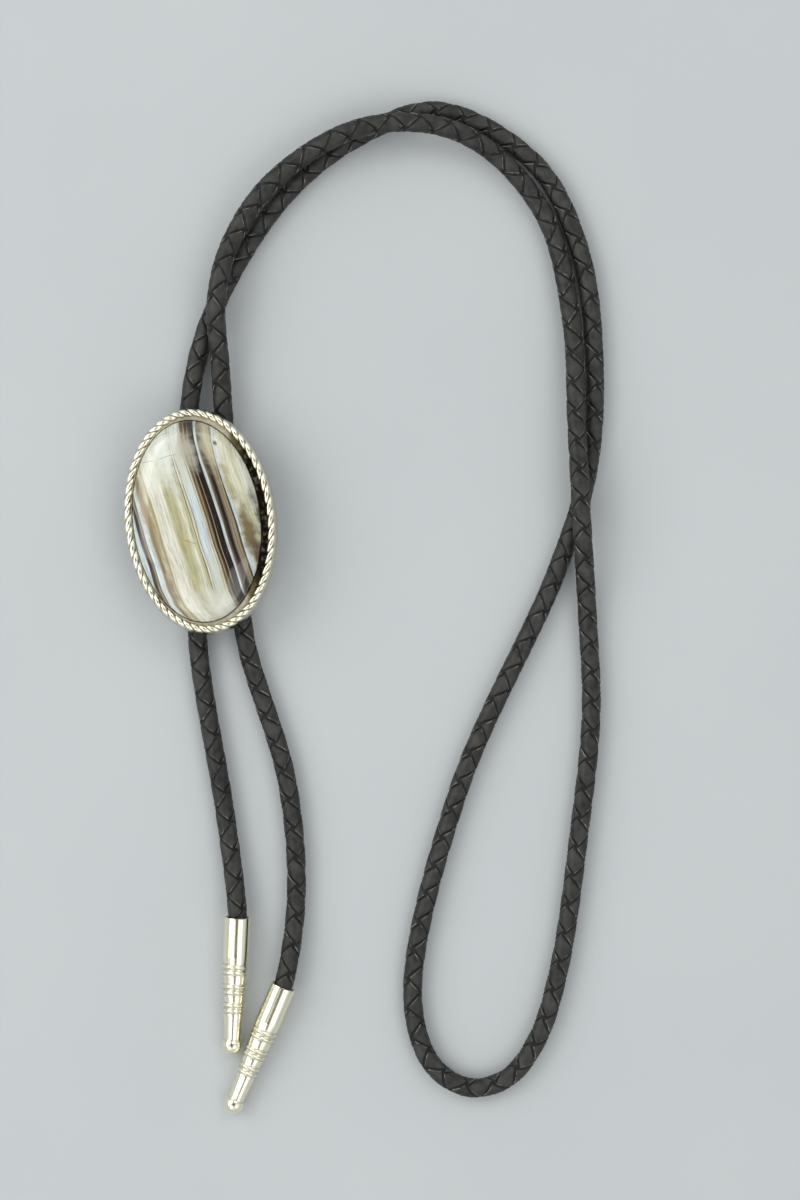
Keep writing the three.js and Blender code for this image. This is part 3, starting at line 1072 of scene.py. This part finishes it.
def agate_material():
    """Polished agate: bands that waver and split into fine lines, then stains, painted reflection
    and cracks.
    """
    material, tree, shader = new_material("agate", IOR=1.54, Coat_Weight=0.3, Coat_Roughness=0.03)
    bands = add_node(tree, "Attribute", attribute_name="bands").outputs["Vector"]
    place = add_node(tree, "TexCoord").outputs["Object"]
    stretched = add_node(
        tree, "VectorMath", {0: bands, 1: (1.0, 0.05, 0.3)}, operation="MULTIPLY"
    ).outputs[0]
    wander = add_node(
        tree, "TexNoise", {"Vector": stretched, "Scale": 0.8, "Detail": 2.0}
    ).outputs["Fac"]
    streaks = add_node(
        tree, "TexNoise", {"Vector": stretched, "Scale": 2.4, "Detail": 5.0, "Roughness": 0.7}
    ).outputs["Fac"]
    clouds = add_node(
        tree, "TexNoise", {"Vector": bands, "Scale": 0.45, "Detail": 4.0}
    ).outputs["Fac"]
    shift = add_node(
        tree, "MapRange", {"Value": wander, "To Min": -0.45, "To Max": 0.45}
    ).outputs[0]
    across = add_node(tree, "SeparateXYZ", {"Vector": bands}).outputs["X"]
    across = add_node(tree, "Math", {0: across, 1: shift}, operation="ADD").outputs[0]
    is_right = add_node(
        tree, "Math", {0: across, 1: left_bands[-1][0]}, operation="GREATER_THAN"
    ).outputs[0]
    color = add_node(
        tree,
        "MixRGB",
        {
            "Fac": is_right,
            "Color1": band_colors(tree, across, left_bands),
            "Color2": band_colors(tree, across, right_bands),
        },
    ).outputs[0]
    hairs = add_node(
        tree, "TexNoise", {"Vector": stretched, "Scale": 5.0, "Detail": 2.0}
    ).outputs["Fac"]
    hairs = add_node(
        tree, "MapRange", {"Value": hairs, "From Min": 0.6, "From Max": 0.7, "To Max": 0.5}
    ).outputs[0]
    color = add_node(
        tree, "MixRGB", {"Fac": hairs, "Color1": color, "Color2": paint(122, 106, 80)}
    ).outputs[0]
    lines = add_node(
        tree,
        "MapRange",
        {"Value": streaks, "From Min": 0.36, "From Max": 0.6, "To Min": 0.7, "To Max": 1.05},
    ).outputs[0]
    color = add_node(
        tree, "VectorMath", {0: color, "Scale": lines}, operation="SCALE"
    ).outputs[0]

    # Stains, and painted reflection: the milky veil of the overhead light on the dome
    soft_patch = soft_patch_group()
    for middle, reach, stain, strength in stone_patches.values():
        values = {
            "Vector": bands,
            "Noise": clouds,
            "Place": (*middle, 0.0),
            "Reach": (*reach, 1.0),
            "Strength": strength,
        }
        mask = place_group(tree, soft_patch, values).outputs["Mask"]
        color = add_node(
            tree, "MixRGB", {"Fac": mask, "Color1": color, "Color2": paint(*stain)}
        ).outputs[0]
    fine_crack = fine_crack_group()
    for start, end in stone_cracks:
        values = {"Vector": place, "Start": start, "End": end}
        mask = place_group(tree, fine_crack, values).outputs["Mask"]
        color = add_node(
            tree, "MixRGB", {"Fac": mask, "Color1": color, "Color2": paint(108, 92, 68)}
        ).outputs[0]

    rough = add_node(tree, "MapRange", {"Value": streaks, "To Min": 0.03, "To Max": 0.12})
    polish = add_node(
        tree, "Bump", {"Height": clouds, "Strength": 0.1, "Distance": 0.00003}
    )
    finish_material(tree, shader, color, rough.outputs[0], polish.outputs[0])
    return material


stone.data.materials.append(agate_material())
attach(stone, "root")
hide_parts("stone")


# Floor and light: a plain pale floor, a key light from the left, and four broad soft panels
# overhead with a gap between them, which shows as the dark line in the metal. The surround is
# pale, and dimmer straight overhead and near the floor.
floor_reach = 2.0
floor_corners = [
    (x * floor_reach, y * floor_reach, 0.0) for x, y in ((-1, -1), (1, -1), (1, 1), (-1, 1))
]
floor_mesh = bpy.data.meshes.new("floor")
floor_mesh.from_pydata(floor_corners, [], [(0, 1, 2, 3)])
floor = bpy.data.objects.new("floor", floor_mesh)
bpy.context.scene.collection.objects.link(floor)
floor_material, floor_tree, floor_shader = new_material("pale_floor", Roughness=0.85)
floor_place = add_node(floor_tree, "TexCoord").outputs["Object"]
floor_grain = place_group(
    floor_tree, fine_grain, {"Vector": floor_place, "Grain Scale": 900.0, "Mottle Scale": 12.0}
).outputs
floor_color = add_node(
    floor_tree,
    "MixRGB",
    {
        "Fac": floor_grain["Mottle"],
        "Color1": paint(186, 191, 193),
        "Color2": paint(195, 199, 201),
    },
)
floor_tree.links.new(floor_color.outputs[0], floor_shader["Base Color"])
floor.data.materials.append(floor_material)

panel_middle = (-0.03, -0.02)
panel_apart = 0.54
panel_size = 0.72
panel_height = 0.95
panel_power = 2.4

soft_lights = {
    "key_left": {"place": (-0.90, 0.30, 0.75), "size": (0.7, 1.1), "power": 4.6},
}
for side in (-1, 1):
    for end in (-1, 1):
        soft_lights[f"panel_{side}_{end}"] = {
            "place": (
                panel_middle[0] + side * panel_apart,
                panel_middle[1] + end * panel_apart,
                panel_height,
            ),
            "size": (panel_size, panel_size),
            "power": panel_power,
        }
for name, light in soft_lights.items():
    data = bpy.data.lights.new(name, "AREA")
    data.shape = "RECTANGLE"
    data.size, data.size_y = light["size"]
    data.energy = light["power"]
    data.color = (1.0, 0.99, 0.96)
    lamp = bpy.data.objects.new(name, data)
    lamp.location = light["place"]
    x, y, z = light["place"]
    lamp.rotation_euler = (-math.atan2(y, z), math.atan2(x, z), 0.0)
    bpy.context.scene.collection.objects.link(lamp)

# How bright the surround is by height, from 0 at the floor's edge to 1 straight overhead
surround_levels = [(0.0, 0.42), (0.3, 0.66), (0.6, 0.74), (0.85, 0.45), (0.93, 0.16), (1.0, 0.1)]


def surround_color(level):
    return (level * 0.95, level * 0.98, level, 1.0)


world = bpy.data.worlds.new("surround")
world.use_nodes = True
world_tree = world.node_tree
world_height = add_node(
    world_tree, "SeparateXYZ", {"Vector": add_node(world_tree, "TexCoord").outputs["Generated"]}
).outputs["Z"]
world_ramp = add_node(world_tree, "ValToRGB", {"Fac": world_height})
world_stops = world_ramp.color_ramp.elements
for stop, (height, level) in zip(world_stops, (surround_levels[0], surround_levels[-1])):
    stop.position = height
    stop.color = surround_color(level)
for height, level in surround_levels[1:-1]:
    world_stops.new(height).color = surround_color(level)
world_light = world_tree.nodes["Background"].inputs
world_tree.links.new(world_ramp.outputs["Color"], world_light["Color"])
bpy.context.scene.world = world
bpy.context.scene.view_settings.view_transform = "Standard"
